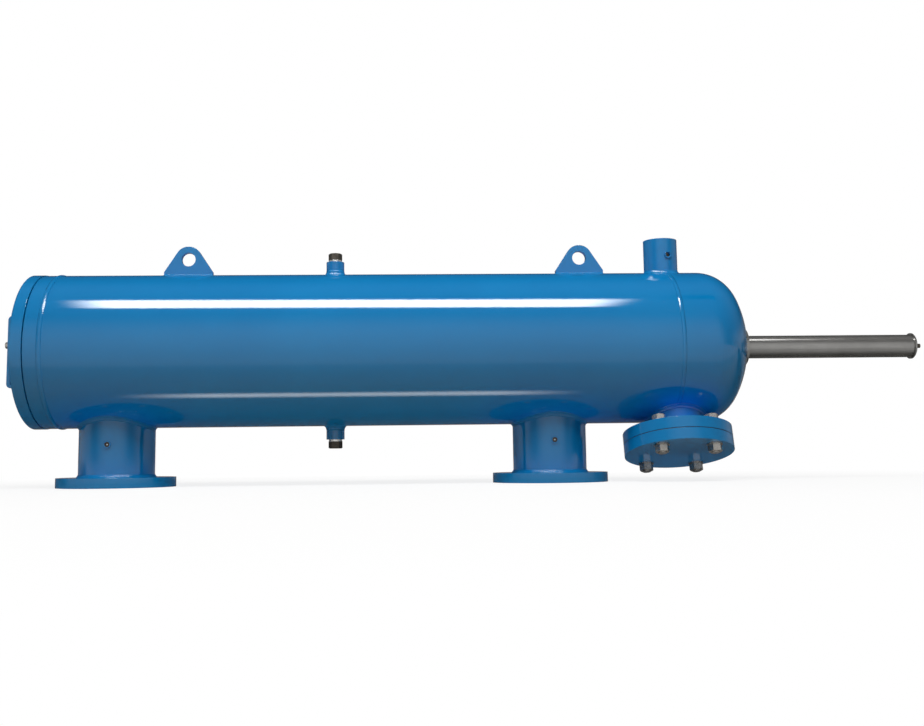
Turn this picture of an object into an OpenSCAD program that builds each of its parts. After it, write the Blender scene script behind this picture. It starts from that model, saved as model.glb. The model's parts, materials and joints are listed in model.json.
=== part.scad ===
// Self cleaning filter: a horizontal pressure vessel with a suction scanner inside.
// Origin: centre of the inlet flange face. X runs along the vessel, Z is up.

/* [Vessel] */
// Outside diameter of the shell
shell_od = 457.2; // [445:0.1:480]
// Wall of the shell and of the dished head
shell_wall = 9.5; // [7:0.1:12]
// Stand-out of the nozzle flange faces from the shell
nozzle_stand = 173.4; // [168:0.2:212]
// Distance between the inlet and the outlet nozzle
nozzle_pitch = 1289; // [1250:1:1400]
// Shell length from the end ring to the inlet axis
inlet_setback = 164; // [160:1:200]
// Shell length from the outlet axis to the seam of the head
seam_setback = 361; // [355:1:372]
// Straight skirt of the dished head
head_skirt = 93; // [92:1:130]
// Crown radius of the dished head, outside
head_crown_r = 341.5; // [320:0.5:400]
// Knuckle radius of the dished head, outside
head_knuckle_r = 114; // [80:0.5:125]

/* [Nozzles] */
// Outside diameter of the nozzle pipes
pipe_od = 219.1; // [200:0.1:230]
// Wall of the nozzle pipes
pipe_wall = 8.2; // [6:0.1:12]
// Outside diameter of the nozzle flanges
flange_od = 342.9; // [335:0.1:380]
// Thickness of the nozzle flanges
flange_thickness = 28.6; // [22:0.1:40]
// Bolt circle of the nozzle flanges
flange_bolt_circle = 298.45; // [296:0.05:312]
// Number of bolt holes in a nozzle flange
flange_bolt_count = 8; // [4:4:12]
// Diameter of the nozzle bolt holes
flange_bolt_hole_d = 22.2; // [16:0.1:24]
// Set-back of the pipe end from the flange face
pipe_end_setback = 5; // [3:0.5:10]

/* [Gauge ports] */
// Height of the gauge ports above the flange faces
gauge_height = 124; // [100:1:140]
// Outside diameter of a gauge boss
gauge_boss_d = 21; // [19:0.5:26]
// Stand-out of a gauge boss from its pipe
gauge_boss_reach = 4; // [3:0.5:8]
// Diameter of the plugged gauge hole
gauge_hole_d = 15; // [11:0.1:16]
// Across flats of the hexagon socket in a gauge plug
gauge_socket_flats = 8; // [5:0.5:9]
// Distance of the open gauge port below the flush pipe's end
flush_port_drop = 51.5; // [40:0.5:60]
// Turn of the open gauge port from the front towards the head
flush_port_turn = 11; // [0:1:40]
// Diameter of the open gauge hole
flush_port_d = 15; // [8:0.1:16]

/* [Flush outlet] */
// Distance of the flush pipe past the outlet axis
flush_offset = 358; // [340:1:370]
// Outside diameter of the flush pipe
flush_od = 101.6; // [88:0.1:108]
// Wall of the flush pipe
flush_wall = 5.7; // [4:0.1:8]
// Stand-out of the flush pipe from the shell
flush_stand = 102.9; // [95:0.1:150]

/* [Hand hole] */
// Distance of the hand hole past the outlet axis
hand_hole_offset = 370; // [360:1:372]
// Tilt of the hand hole from straight down towards the front
hand_hole_tilt = 15.6; // [0:0.1:25]
// Outside diameter of the hand hole neck
neck_od = 168.3; // [150:0.1:172]
// Wall of the hand hole neck
neck_wall = 7.1; // [5:0.1:10]
// Distance from the shell to the back of the neck flange
neck_stand = 39.4; // [37:0.2:46]
// Outside diameter of the neck flange and the blind flange
blind_od = 317; // [310:0.5:330]
// Thickness of the neck flange and of the blind flange
blind_thickness = 32.6; // [28:0.1:36]
// Thickness of the hand hole gasket
gasket_thickness = 2; // [1:0.1:3]
// Bolt spacing along the vessel
hand_bolt_along = 152; // [144:1:160]
// Bolt spacing across the vessel
hand_bolt_across = 204; // [198:1:212]
// Diameter of the hand hole bolts
hand_bolt_d = 24; // [20:1:26]
// Across flats of the hand hole bolt heads and nuts
hand_bolt_flats = 36; // [34:1:40]
// Height of the hand hole bolt heads
hand_head_h = 15; // [12:0.5:18]
// Height of the hand hole nuts
hand_nut_h = 20; // [16:0.5:24]
// Outside diameter of the hand hole washers
hand_washer_d = 44; // [41:0.5:48]
// Thickness of the hand hole washers
hand_washer_t = 4; // [2:0.5:5]

/* [Vent and drain] */
// Distance of the vent and drain ports from the inlet axis
port_offset = 646; // [600:1:700]
// Outside diameter of a port coupling
coupling_od = 54; // [50:0.5:60]
// Bore of a port coupling
coupling_bore = 33; // [28:0.5:36]
// Stand-out of a port coupling from the shell
coupling_stand = 39.9; // [30:0.1:52]
// Height of the sealing ring under a port plug
port_ring_h = 6; // [3:0.5:8]
// Across flats of the port plugs
port_plug_flats = 36; // [34:0.5:42]
// Height of the port plug heads
port_plug_h = 21; // [16:0.5:30]
// Length of the port plug shanks
port_plug_shank = 24; // [16:1:30]

/* [Lifting lugs] */
// Distance of the first lug from the inlet axis
lug_offset_left = 203; // [190:1:260]
// Distance of the second lug past the outlet axis
lug_offset_right = 104; // [80:1:120]
// Height of the lug holes above the shell
lug_hole_rise = 50.4; // [47:0.2:70]
// Diameter of the lug holes
lug_hole_d = 42; // [34:0.5:46]
// Radius of the rounded lug top
lug_top_r = 40; // [36:0.5:44]
// Width of a lug at its foot
lug_foot = 146; // [120:1:160]
// Height of the straight edges at a lug's foot
lug_edge = 12; // [6:0.5:16]
// Plate thickness of the lugs
lug_thickness = 19; // [12:0.5:25]

/* [Cover] */
// Stand-out of the cover's rim from the shell
cover_lip = 1.4; // [0.2:0.1:8]
// Thickness of the cover plate
cover_thickness = 35; // [30:0.5:45]
// Edge break around the cover's outer face
cover_edge = 3; // [1:0.5:6]
// Length of the end ring
end_ring_length = 44; // [42:0.5:60]
// Gap between the end ring and the cover
cover_split = 3; // [2:0.5:5]
// Wall of the end ring at its bore
closure_wall = 43.6; // [38:0.2:48]
// Number of locking lugs
closure_lugs = 6; // [4:1:8]
// Width of a locking lug as part of its pitch
closure_lug_share = 0.46; // [0.3:0.01:0.48]
// Radial depth of the locking lugs
closure_lug_depth = 10; // [8:0.5:14]
// Axial thickness of the locking lugs
closure_lug_t = 13; // [10:0.5:14]
// Wall of the cover's spigot
spigot_wall = 29.6; // [22:0.2:40]
// Section diameter of the cover seal
cover_seal_d = 8; // [6:0.5:9]
// Height of the cover handle
handle_height = 216; // [150:1:230]
// Reach of the cover handle from the cover
handle_reach = 77; // [60:1:90]
// Width of the handle's flat bar
handle_width = 50; // [36:1:60]
// Thickness of the handle's flat bar
handle_bar = 10; // [8:0.5:11]
// Outer bend radius of the handle
handle_bend = 13; // [12:0.5:30]
// Height of the vent screw above the vessel axis
vent_screw_height = 22; // [15:1:40]
// Diameter of the vent screw
vent_screw_d = 10; // [8:0.5:12]
// Across flats of the vent screw head
vent_screw_flats = 17; // [16:0.5:19]
// Height of the vent screw head
vent_screw_head = 14; // [6:0.5:18]
// Depth of the vent screw in the cover
vent_screw_depth = 20; // [10:1:25]

/* [Screens] */
// Distance of the inlet bulkhead from the inlet axis
inlet_bulkhead_offset = 200; // [190:1:220]
// Distance of the rotor bulkhead past the outlet axis
rotor_bulkhead_offset = 203; // [190:1:206]
// Thickness of both bulkheads
bulkhead_t = 12; // [8:0.5:16]
// Step from the coarse screen's bore to the inlet bulkhead's mouth
mouth_step = 10; // [6:0.5:14]
// Gap between the end ring's bore and the coarse screen
coarse_gap = 32; // [26:1:36]
// Wall of the coarse screen
coarse_wall = 3; // [2:0.5:5]
// Diameter of the coarse screen's holes
coarse_hole_d = 30; // [20:1:36]
// Number of hole rows along the coarse screen
coarse_rows = 7; // [4:1:8]
// Holes around the coarse screen
coarse_around = 12; // [8:2:16]
// Depth from the shell's bore to the fine screen's bore
screen_annulus = 51.1; // [48:0.1:56]
// Wall of the fine screen
fine_wall = 1.5; // [1:0.1:2.5]
// Radial depth of the cage rings
cage_depth = 7; // [7:0.5:9]
// Width of the cage rings
cage_ring_w = 12; // [8:0.5:20]
// Number of inner cage rings
cage_rings = 6; // [3:1:10]
// Number of cage rods
cage_rods = 16; // [8:1:24]
// Diameter of the cage rods
cage_rod_d = 5; // [4:0.5:6]
// Width of the screen's end rings
screen_end_w = 16; // [14:0.5:20]
// Radial depth of the screen's end rings
screen_end_depth = 20; // [18:0.5:24]
// Section diameter of the screen seals
screen_seal_d = 5; // [4:0.5:6]
// Radial wall of the bulkhead collars
collar_wall = 9; // [6:0.5:12]

/* [Scanner] */
// Outside diameter of the collector tube
collector_od = 60.3; // [54:0.1:66]
// Wall of the collector tube
collector_wall = 2.8; // [2:0.1:4]
// Number of suction nozzles
suction_count = 5; // [3:1:8]
// Diameter of a suction nozzle's neck
suction_neck_d = 28; // [22:1:34]
// Bore of a suction nozzle
suction_bore = 20; // [14:1:21]
// Length of a suction nozzle's mouth along the vessel
suction_mouth = 40; // [36:1:48]
// Width of a suction nozzle's mouth
suction_width = 26; // [22:1:32]
// Height of a suction nozzle's mouth
suction_mouth_h = 18; // [12:1:24]
// Running gap between the suction nozzles and the fine screen
suction_gap = 1.5; // [1:0.1:3]
// Clear end of the fine screen past the nozzle sweep
sweep_margin = 4; // [2:0.5:8]
// Diameter of the tail pin
tail_pin_d = 24; // [18:0.5:28]
// Length of the tail bush
tail_bush_length = 30; // [22:1:36]
// Wall of the bushes
bush_wall = 4; // [3:0.5:6]
// Arm width of the tail spider
spider_arm = 16; // [10:0.5:24]
// Length of the rotor hub
rotor_length = 80; // [70:1:84]
// Outside diameter of the rotor hub
rotor_hub_d = 88; // [84:1:96]
// Distance from the rotor arms' ends to the shell's bore
rotor_gap = 81.1; // [74:0.1:110]
// Diameter of the rotor arms
rotor_arm_d = 26; // [20:1:30]
// Bore of the rotor arms
rotor_arm_bore = 18; // [12:1:19]
// Length of a rotor jet
jet_length = 34; // [30:1:40]
// Bore of a rotor jet
jet_bore = 8; // [5:0.5:12]

/* [Hydraulic cylinder] */
// Diameter of the hub on the head
hub_od = 114; // [100:0.5:120]
// Stand-out of the hub from the head
hub_reach = 8; // [6:0.5:30]
// Depth of the hub's spigot behind the head's apex
hub_spigot_depth = 34; // [31:0.5:38]
// Diameter of the hub's spigot through the head
hub_spigot_d = 76; // [60:0.5:80]
// Depth of the tube socket in the hub
socket_depth = 10; // [6:0.5:12]
// Outside diameter of the cylinder tube
tube_od = 69.4; // [66:0.1:74]
// Wall of the cylinder tube
tube_wall = 3; // [2:0.1:4]
// Visible length of the cylinder tube
tube_length = 519; // [460:1:560]
// Diameter of the end cap
end_cap_d = 79; // [77:0.5:90]
// Thickness of the end cap's rim
end_cap_t = 6; // [5:0.5:12]
// Length of the end cap's spigot
end_cap_spigot = 20; // [16:0.5:26]
// Reach of the end fitting
fitting_reach = 25; // [20:0.5:35]
// Across flats of the end fitting
fitting_flats = 19; // [17:0.5:24]
// Diameter of the piston rod
rod_d = 20; // [16:0.5:24]
// Start of the piston past the hub face
piston_start = 40; // [20:1:60]
// Length of the piston
piston_length = 60; // [40:1:70]
// Section diameter of the piston seal
piston_seal_d = 5; // [4:0.5:6]
// Height of the piston nut
piston_nut_h = 16; // [12:0.5:20]
// Across flats of the piston nut
piston_nut_flats = 30; // [30:0.5:36]
// Section diameter of the gland seals and the end cap seal
small_seal_d = 3; // [2:0.1:3.4]

/* [Welds] */
// Leg of the nozzle welds
weld_leg = 8; // [5:0.5:10]
// Leg of the coupling welds on the shell
coupling_weld_leg = 8; // [4:0.5:9]
// Height of the coupling welds on the coupling
coupling_weld_h = 15; // [6:0.5:20]
// Leg of the welds behind the flanges
flange_weld_leg = 6; // [4:0.5:9]
// Width of the girth welds
girth_width = 14; // [8:0.5:20]
// Height of the girth weld at the end ring
ring_girth_h = 2.5; // [1:0.1:4]
// Height of the girth weld at the head
head_girth_h = 1; // [0.5:0.1:3]

/* [Fits] */
// Gap of a fixed seat
seat_gap = 0.2; // [0.1:0.05:0.4]
// Radial running clearance of shafts in their bushes
run_gap = 0.05; // [0.02:0.01:0.09]
// Gap between pieces that move past each other
move_gap = 0.4; // [0.3:0.05:0.8]

/* [Hidden] */
$fn = 96;
cut = 1;
// Play of a bolt in its hole, across
bolt_play = 2;
// Bolt end that stands out past its nut
thread_end = 3;
// Set-back of a hexagon head's top circle from its flats
hex_relief = 0.5;
// Stand-off of the faceted welds from the walls that they lie on
weld_gap = seat_gap + 0.1;
// Crown height of a weld section, as part of its leg
weld_crown = 0.62;
// Height of a saddle weld on its pipe
weld_h = weld_leg * 1.1;
weld_steps = 48;
arc_steps = 12;

shell_r = shell_od / 2;
shell_ir = shell_r - shell_wall;
pipe_r = pipe_od / 2;
pipe_bore_r = pipe_r - pipe_wall;
flush_r = flush_od / 2;
flush_bore_r = flush_r - flush_wall;
neck_r = neck_od / 2;
neck_bore_r = neck_r - neck_wall;

// Reaches from the vessel axis
axis_height = shell_r + nozzle_stand;
flush_reach = shell_r + flush_stand;
flush_port_height = flush_reach - flush_port_drop;
neck_reach = shell_r + neck_stand;
coupling_reach = shell_r + coupling_stand;
lug_hole_height = shell_r + lug_hole_rise;

seam_x = nozzle_pitch + seam_setback;
flush_x = nozzle_pitch + flush_offset;
hand_hole_x = nozzle_pitch + hand_hole_offset;
lug_right_x = nozzle_pitch + lug_offset_right;
end_ring_x = -inlet_setback - end_ring_length;
cover_x = end_ring_x - cover_split;
cover_face_x = cover_x - cover_thickness;

// Dished head: crown and knuckle arcs share the line through both centres.
knuckle_ring_r = shell_r - head_knuckle_r;
crown_drop = sqrt(pow(head_crown_r - head_knuckle_r, 2) - pow(knuckle_ring_r, 2));
crown_centre = head_skirt - crown_drop;
crown_angle = atan(knuckle_ring_r / crown_drop);
apex_x = seam_x + crown_centre + head_crown_r;
hub_face_x = apex_x + hub_reach;
spigot_x = apex_x - hub_spigot_depth;

// Hand hole stack, measured outwards from the vessel axis
gasket_reach = neck_reach + blind_thickness;
blind_reach = gasket_reach + gasket_thickness;
blind_face = blind_reach + blind_thickness;
hand_hole_holes = [for (a = [-1, 1], b = [-1, 1]) [a * hand_bolt_along / 2, b * hand_bolt_across / 2]];
hand_hole_d = hand_bolt_d + bolt_play;

// Bayonet closure, measured from the end ring's outer face
cover_r = shell_r + cover_lip;
closure_r = shell_r - closure_wall;
recess_length = closure_lug_t + 2 * move_gap;
closure_pitch = 360 / closure_lugs;
lug_sector = closure_pitch * closure_lug_share;
closure_land = closure_lug_t + recess_length;
spigot_r = closure_r - move_gap;
spigot_bore_r = spigot_r - spigot_wall;
spigot_length = end_ring_length - 2 * cut;
cover_seal_ring_r = closure_r - move_gap - cover_seal_d / 2;

// Screens
inlet_bulkhead_x = inlet_bulkhead_offset;
rotor_bulkhead_x = nozzle_pitch + rotor_bulkhead_offset;
screen_x0 = inlet_bulkhead_x + bulkhead_t;
screen_x1 = rotor_bulkhead_x;
screen_length = screen_x1 - screen_x0;
fine_ir = shell_ir - screen_annulus;
fine_or = fine_ir + fine_wall;
cage_ir = fine_or + seat_gap;
cage_or = cage_ir + cage_depth;
screen_end_r = fine_ir + screen_end_depth;
screen_seal_ring_r = screen_end_r - screen_seal_d / 2;
collar_ir = screen_end_r + seat_gap;
coarse_x0 = end_ring_x + end_ring_length + cut;
coarse_length = inlet_bulkhead_x - coarse_x0;
coarse_r = closure_r - coarse_gap;
mouth_r = coarse_r - coarse_wall - mouth_step;

// Scanner at the start of its stroke
stroke = (screen_length - 2 * (screen_end_w + sweep_margin) - suction_mouth) / suction_count;
first_suction_x = screen_x0 + screen_end_w + sweep_margin + suction_mouth / 2;
collector_r = collector_od / 2;
tip_r = fine_ir - suction_gap;
rotor_reach = shell_ir - rotor_gap;
bush_flange = 6;
end_play = 8;
tail_x = screen_x0 + 2 * bush_flange + end_play;
tail_bush_x = screen_x0 + bush_flange - tail_bush_length;
tail_pin_length = tail_x - tail_bush_x + stroke + end_play;
tail_pin_r = tail_pin_d / 2;
rotor_x = rotor_bulkhead_x + bulkhead_t + bush_flange + end_play;
collector_end_x = rotor_x + rotor_length / 3;
rotor_end_x = rotor_x + rotor_length;
swivel_depth = 14;
swivel_cap_t = 8;
rod_r = rod_d / 2;
rod_collar_r = rod_r + swivel_cap_t;
rod_collar_t = swivel_depth - 2 * move_gap;
piston_x = hub_face_x + piston_start;
tube_r = tube_od / 2;
tube_ir = tube_r - tube_wall;
tube_x = hub_face_x - socket_depth;
tube_end_x = hub_face_x + tube_length;
piston_r = tube_ir - move_gap;
piston_seal_ring_r = tube_ir - move_gap - piston_seal_d / 2;
rod_end_x = piston_x + piston_length + piston_nut_h + thread_end;
gland_bush_r = rod_r + run_gap + bush_wall;
gland_lip = 5;
gland_seal_space = 2 * small_seal_d + cut;
gland_length = tube_x - gland_lip - gland_seal_space - spigot_x;

paint = "#1d5fa6";
steel = "#b9bab7";
stainless = "#9a9c9b";
dark_iron = "#2b2624";
rubber = "#1c1c1c";
bronze = "#a9823f";

// Frames: each turns local +Z to the direction that its name says.

module along_x(x) {
    translate([x, 0, axis_height]) rotate([0, 90, 0]) children();
}

module downwards(x) {
    translate([x, 0, axis_height]) rotate([180, 0, 0]) children();
}

module upwards(x) {
    translate([x, 0, axis_height]) children();
}

module out_of_hand_hole() {
    translate([hand_hole_x, 0, axis_height]) rotate([180 - hand_hole_tilt, 0, 0]) children();
}

// Towards the front from a pipe's axis
module frontwards(x, z, turn) {
    translate([x, 0, z]) rotate([0, 0, turn]) rotate([90, 0, 0]) children();
}

// Shared shapes

module tube(outer, inner, length) {
    difference() {
        cylinder(r = outer, h = length);
        translate([0, 0, -cut]) cylinder(r = inner, h = length + 2 * cut);
    }
}

module hex_prism(flats, height) {
    cylinder(d = flats / cos(30), h = height, $fn = 6);
}

// Hexagon with its top corners turned off at 30 degrees
module hex_head(flats, height) {
    corner_r = flats / sqrt(3);
    top_r = flats / 2 - hex_relief;
    drop = (corner_r - top_r) * tan(30);
    intersection() {
        hex_prism(flats, height);
        union() {
            cylinder(r = corner_r + cut, h = height - drop);
            translate([0, 0, height - drop]) cylinder(r1 = corner_r, r2 = top_r, h = drop);
        }
    }
}

module seal_ring(ring_r, section_d) {
    rotate_extrude() translate([ring_r, 0]) circle(d = section_d);
}

// Pipe stub from the shell's surface outwards
module stub(outer, inner, reach) {
    difference() {
        cylinder(r = outer, h = reach);
        cylinder(r = inner, h = reach + cut);
        rotate([0, 90, 0]) cylinder(r = shell_r, h = 4 * outer, center = true);
    }
}

// Weld along the saddle where a pipe meets the shell, as a swept four-sided section
function saddle(radius, turn) = sqrt(pow(shell_r + weld_gap, 2) - pow(radius * sin(turn), 2));
function saddle_point(radius, turn, rise) =
    [radius * cos(turn), radius * sin(turn), saddle(radius, turn) + rise];
function saddle_section(pipe, leg, height, turn) = [
    saddle_point(pipe, turn, 0),
    saddle_point(pipe + leg, turn, 0),
    saddle_point(pipe + leg / 2, turn, leg * weld_crown),
    saddle_point(pipe, turn, height)
];

module saddle_weld(pipe, leg, height) {
    inner = pipe + weld_gap;
    points = [for (i = [0:weld_steps - 1]) each saddle_section(inner, leg, height, 360 * i / weld_steps)];
    faces = [
        for (i = [0:weld_steps - 1], k = [0:3])
            let (a = 4 * i + k, b = 4 * i + (k + 1) % 4)
            let (c = (a + 4) % (4 * weld_steps), d = (b + 4) % (4 * weld_steps))
            each [[a, b, d], [a, d, c]]
    ];
    polyhedron(points = points, faces = faces, convexity = 6);
}

module coupling_weld() {
    saddle_weld(coupling_od / 2, coupling_weld_leg, coupling_weld_h);
}

// Fillet ring on a pipe, with its flat on the plane below it
module fillet_ring(pipe, leg) {
    rotate_extrude() polygon([[pipe, 0], [pipe + leg, 0], [pipe, leg]]);
}

// Low rounded girth bead around the shell
module girth_weld(height) {
    bead_r = (pow(girth_width / 2, 2) + pow(height, 2)) / (2 * height);
    rotate_extrude() intersection() {
        translate([shell_r + height - bead_r, 0]) circle(r = bead_r);
        translate([shell_r + seat_gap, -girth_width / 2]) square([2 * height, girth_width]);
    }
}

// Bores through the vessel wall for every branch
module branch_bores() {
    downwards(0) cylinder(r = pipe_bore_r, h = shell_od);
    downwards(nozzle_pitch) cylinder(r = pipe_bore_r, h = shell_od);
    upwards(flush_x) cylinder(r = flush_bore_r, h = shell_od);
    out_of_hand_hole() cylinder(r = neck_bore_r, h = shell_od);
    downwards(port_offset) cylinder(d = coupling_bore, h = shell_od);
    upwards(port_offset) cylinder(d = coupling_bore, h = shell_od);
}

// Vessel

module shell() {
    color(paint) difference() {
        along_x(-inlet_setback) tube(shell_r, shell_ir, inlet_setback + seam_x);
        branch_bores();
    }
}

function arc_points(centre, radius, turn0, turn1) = [
    for (i = [0:arc_steps])
        let (t = turn0 + (turn1 - turn0) * i / arc_steps)
        centre + radius * [sin(t), cos(t)]
];

// Knuckle and crown arcs from the skirt to the axis
function dish_points(inset) = concat(
    arc_points([knuckle_ring_r, head_skirt], head_knuckle_r - inset, 90, crown_angle),
    arc_points([0, crown_centre], head_crown_r - inset, crown_angle * (1 - 1 / arc_steps), 0)
);
function reversed(points) = [for (i = [len(points) - 1:-1:0]) points[i]];

module dished_head() {
    color(paint) difference() {
        along_x(seam_x) rotate_extrude() polygon(concat(
            [[shell_ir, 0], [shell_r, 0]],
            dish_points(0),
            reversed(dish_points(shell_wall))
        ));
        branch_bores();
        along_x(apex_x - shell_r) cylinder(d = hub_spigot_d + 2 * seat_gap, h = shell_od);
    }
}

module end_ring() {
    recess_r = closure_r + closure_lug_depth;
    color(paint) along_x(end_ring_x) {
        difference() {
            tube(shell_r, closure_r, end_ring_length);
            translate([0, 0, -cut]) cylinder(r = recess_r, h = closure_land + cut);
        }
        for (i = [0:closure_lugs - 1])
            rotate([0, 0, i * closure_pitch - lug_sector / 2])
                rotate_extrude(angle = lug_sector)
                    translate([closure_r, 0]) square([closure_lug_depth + cut, closure_lug_t]);
    }
}

module weld_beads() {
    color(paint) {
        for (x = [0, nozzle_pitch]) {
            downwards(x) saddle_weld(pipe_r, weld_leg, weld_h);
            translate([x, 0, flange_thickness]) fillet_ring(pipe_r, flange_weld_leg);
        }
        upwards(flush_x) saddle_weld(flush_r, weld_leg, weld_h);
        out_of_hand_hole() {
            saddle_weld(neck_r, weld_leg, weld_h);
            translate([0, 0, neck_reach]) mirror([0, 0, 1]) fillet_ring(neck_r, flange_weld_leg);
        }
        upwards(port_offset) coupling_weld();
        downwards(port_offset) coupling_weld();
        along_x(-inlet_setback) girth_weld(ring_girth_h);
        difference() {
            along_x(seam_x) girth_weld(head_girth_h);
            upwards(flush_x) cylinder(r = flush_r + weld_leg + cut, h = shell_od);
            out_of_hand_hole() cylinder(r = neck_r + weld_leg + cut, h = shell_od);
        }
    }
}

// Nozzles

module nozzle_pipe(x) {
    color(paint) difference() {
        downwards(x) stub(pipe_r, pipe_bore_r, axis_height - pipe_end_setback);
        frontwards(x, gauge_height, 0) cylinder(d = gauge_hole_d, h = pipe_od);
    }
}

module nozzle_flange(x) {
    color(paint) translate([x, 0, 0]) difference() {
        cylinder(d = flange_od, h = flange_thickness);
        translate([0, 0, -cut]) cylinder(r = pipe_r + seat_gap, h = flange_thickness + 2 * cut);
        for (i = [0:flange_bolt_count - 1])
            rotate([0, 0, (i + 0.5) * 360 / flange_bolt_count])
                translate([flange_bolt_circle / 2, 0, -cut])
                    cylinder(d = flange_bolt_hole_d, h = flange_thickness + 2 * cut);
    }
}

module boss(carrier_r, hole_d) {
    difference() {
        cylinder(d = gauge_boss_d, h = carrier_r + gauge_boss_reach);
        cylinder(d = hole_d, h = carrier_r + gauge_boss_reach + cut);
        rotate([90, 0, 0]) cylinder(r = carrier_r, h = 2 * gauge_boss_d, center = true);
    }
}

module gauge_boss(x) {
    color(paint) frontwards(x, gauge_height, 0) boss(pipe_r, gauge_hole_d);
}

module gauge_plug(x) {
    plug_length = gauge_boss_reach + pipe_wall;
    color(dark_iron) frontwards(x, gauge_height, 0) translate([0, 0, pipe_bore_r]) difference() {
        cylinder(d = gauge_hole_d - 2 * seat_gap, h = plug_length);
        translate([0, 0, plug_length / 2]) hex_prism(gauge_socket_flats, plug_length);
    }
}

module inlet_pipe() { nozzle_pipe(0); }
module inlet_flange() { nozzle_flange(0); }
module inlet_gauge_boss() { gauge_boss(0); }
module inlet_gauge_plug() { gauge_plug(0); }
module outlet_pipe() { nozzle_pipe(nozzle_pitch); }
module outlet_flange() { nozzle_flange(nozzle_pitch); }
module outlet_gauge_boss() { gauge_boss(nozzle_pitch); }
module outlet_gauge_plug() { gauge_plug(nozzle_pitch); }

// Flush outlet

module at_flush_port() {
    frontwards(flush_x, axis_height + flush_port_height, flush_port_turn) children();
}

module flush_pipe() {
    color(paint) difference() {
        upwards(flush_x) stub(flush_r, flush_bore_r, flush_reach);
        at_flush_port() cylinder(d = flush_port_d, h = flush_od);
    }
}

module flush_gauge_boss() {
    color(paint) at_flush_port() boss(flush_r, flush_port_d);
}

// Hand hole

module at_hand_bolts(reach) {
    out_of_hand_hole() for (p = hand_hole_holes) translate([p[0], p[1], reach]) children();
}

module hand_hole_neck() {
    color(paint) out_of_hand_hole() stub(neck_r, neck_bore_r, gasket_reach - pipe_end_setback);
}

module bolted_ring(reach, thickness, disc_r, bore_r) {
    difference() {
        out_of_hand_hole() translate([0, 0, reach]) cylinder(r = disc_r, h = thickness);
        out_of_hand_hole() cylinder(r = bore_r, h = blind_face);
        at_hand_bolts(reach - cut) cylinder(d = hand_hole_d, h = thickness + 2 * cut);
    }
}

module hand_hole_flange() {
    color(paint) bolted_ring(neck_reach, blind_thickness, blind_od / 2, neck_r + seat_gap);
}

module hand_hole_gasket() {
    color(rubber) bolted_ring(gasket_reach, gasket_thickness, blind_od / 2 - cut, neck_r + seat_gap);
}

module hand_hole_blind() {
    color(paint) difference() {
        out_of_hand_hole() translate([0, 0, blind_reach]) cylinder(d = blind_od, h = blind_thickness);
        at_hand_bolts(blind_reach - cut) cylinder(d = hand_hole_d, h = blind_thickness + 2 * cut);
    }
}

module hand_hole_bolts() {
    head_reach = neck_reach - hand_washer_t;
    shank = blind_face + hand_washer_t + hand_nut_h + thread_end - head_reach;
    color(steel) {
        at_hand_bolts(head_reach) mirror([0, 0, 1]) hex_head(hand_bolt_flats, hand_head_h);
        at_hand_bolts(head_reach) cylinder(d = hand_bolt_d, h = shank);
    }
}

module hand_hole_washers() {
    color(steel) for (reach = [neck_reach - hand_washer_t, blind_face])
        at_hand_bolts(reach) tube(hand_washer_d / 2, hand_bolt_d / 2 + seat_gap, hand_washer_t);
}

module hand_hole_nuts() {
    color(steel) at_hand_bolts(blind_face + hand_washer_t) difference() {
        hex_head(hand_bolt_flats, hand_nut_h);
        translate([0, 0, -cut]) cylinder(r = hand_bolt_d / 2 + seat_gap, h = hand_nut_h + 2 * cut);
    }
}

// Vent and drain ports

module coupling() {
    color(paint) stub(coupling_od / 2, coupling_bore / 2, coupling_reach);
}

module port_ring() {
    rim = 2;
    color(steel) translate([0, 0, coupling_reach])
        tube(port_plug_flats / 2 + rim, coupling_bore / 2, port_ring_h);
}

module port_plug() {
    color(dark_iron) translate([0, 0, coupling_reach + port_ring_h]) {
        hex_head(port_plug_flats, port_plug_h);
        translate([0, 0, -port_plug_shank])
            cylinder(r = coupling_bore / 2 - seat_gap, h = port_plug_shank);
    }
}

module vent_coupling() { upwards(port_offset) coupling(); }
module vent_ring() { upwards(port_offset) port_ring(); }
module vent_plug() { upwards(port_offset) port_plug(); }
module drain_coupling() { downwards(port_offset) coupling(); }
module drain_ring() { downwards(port_offset) port_ring(); }
module drain_plug() { downwards(port_offset) port_plug(); }

// Lifting lugs

// Outline with flanks that run from the foot's corners tangent to the round top
module lug_outline() {
    corner = [lug_foot / 2, shell_r + lug_edge];
    rise = lug_hole_height - corner[1];
    span = sqrt(pow(corner[0], 2) + pow(rise, 2));
    tangent_turn = atan2(corner[0], rise) + acos(lug_top_r / span);
    touch = [lug_top_r * sin(tangent_turn), lug_hole_height - lug_top_r * cos(tangent_turn)];
    translate([0, lug_hole_height]) circle(r = lug_top_r);
    polygon([
        [corner[0], shell_r - cut], corner, touch,
        [-touch[0], touch[1]], [-corner[0], corner[1]], [-corner[0], shell_r - cut]
    ]);
}

module lifting_lug(x) {
    color(paint) translate([x, 0, axis_height]) difference() {
        rotate([90, 0, 0]) translate([0, 0, -lug_thickness / 2])
            linear_extrude(lug_thickness) lug_outline();
        rotate([90, 0, 0]) translate([0, lug_hole_height, 0])
            cylinder(d = lug_hole_d, h = lug_thickness + 2 * cut, center = true);
        rotate([0, 90, 0]) cylinder(r = shell_r, h = 2 * lug_foot, center = true);
    }
}

module lifting_lug_left() { lifting_lug(lug_offset_left); }
module lifting_lug_right() { lifting_lug(lug_right_x); }

// Cover

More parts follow.
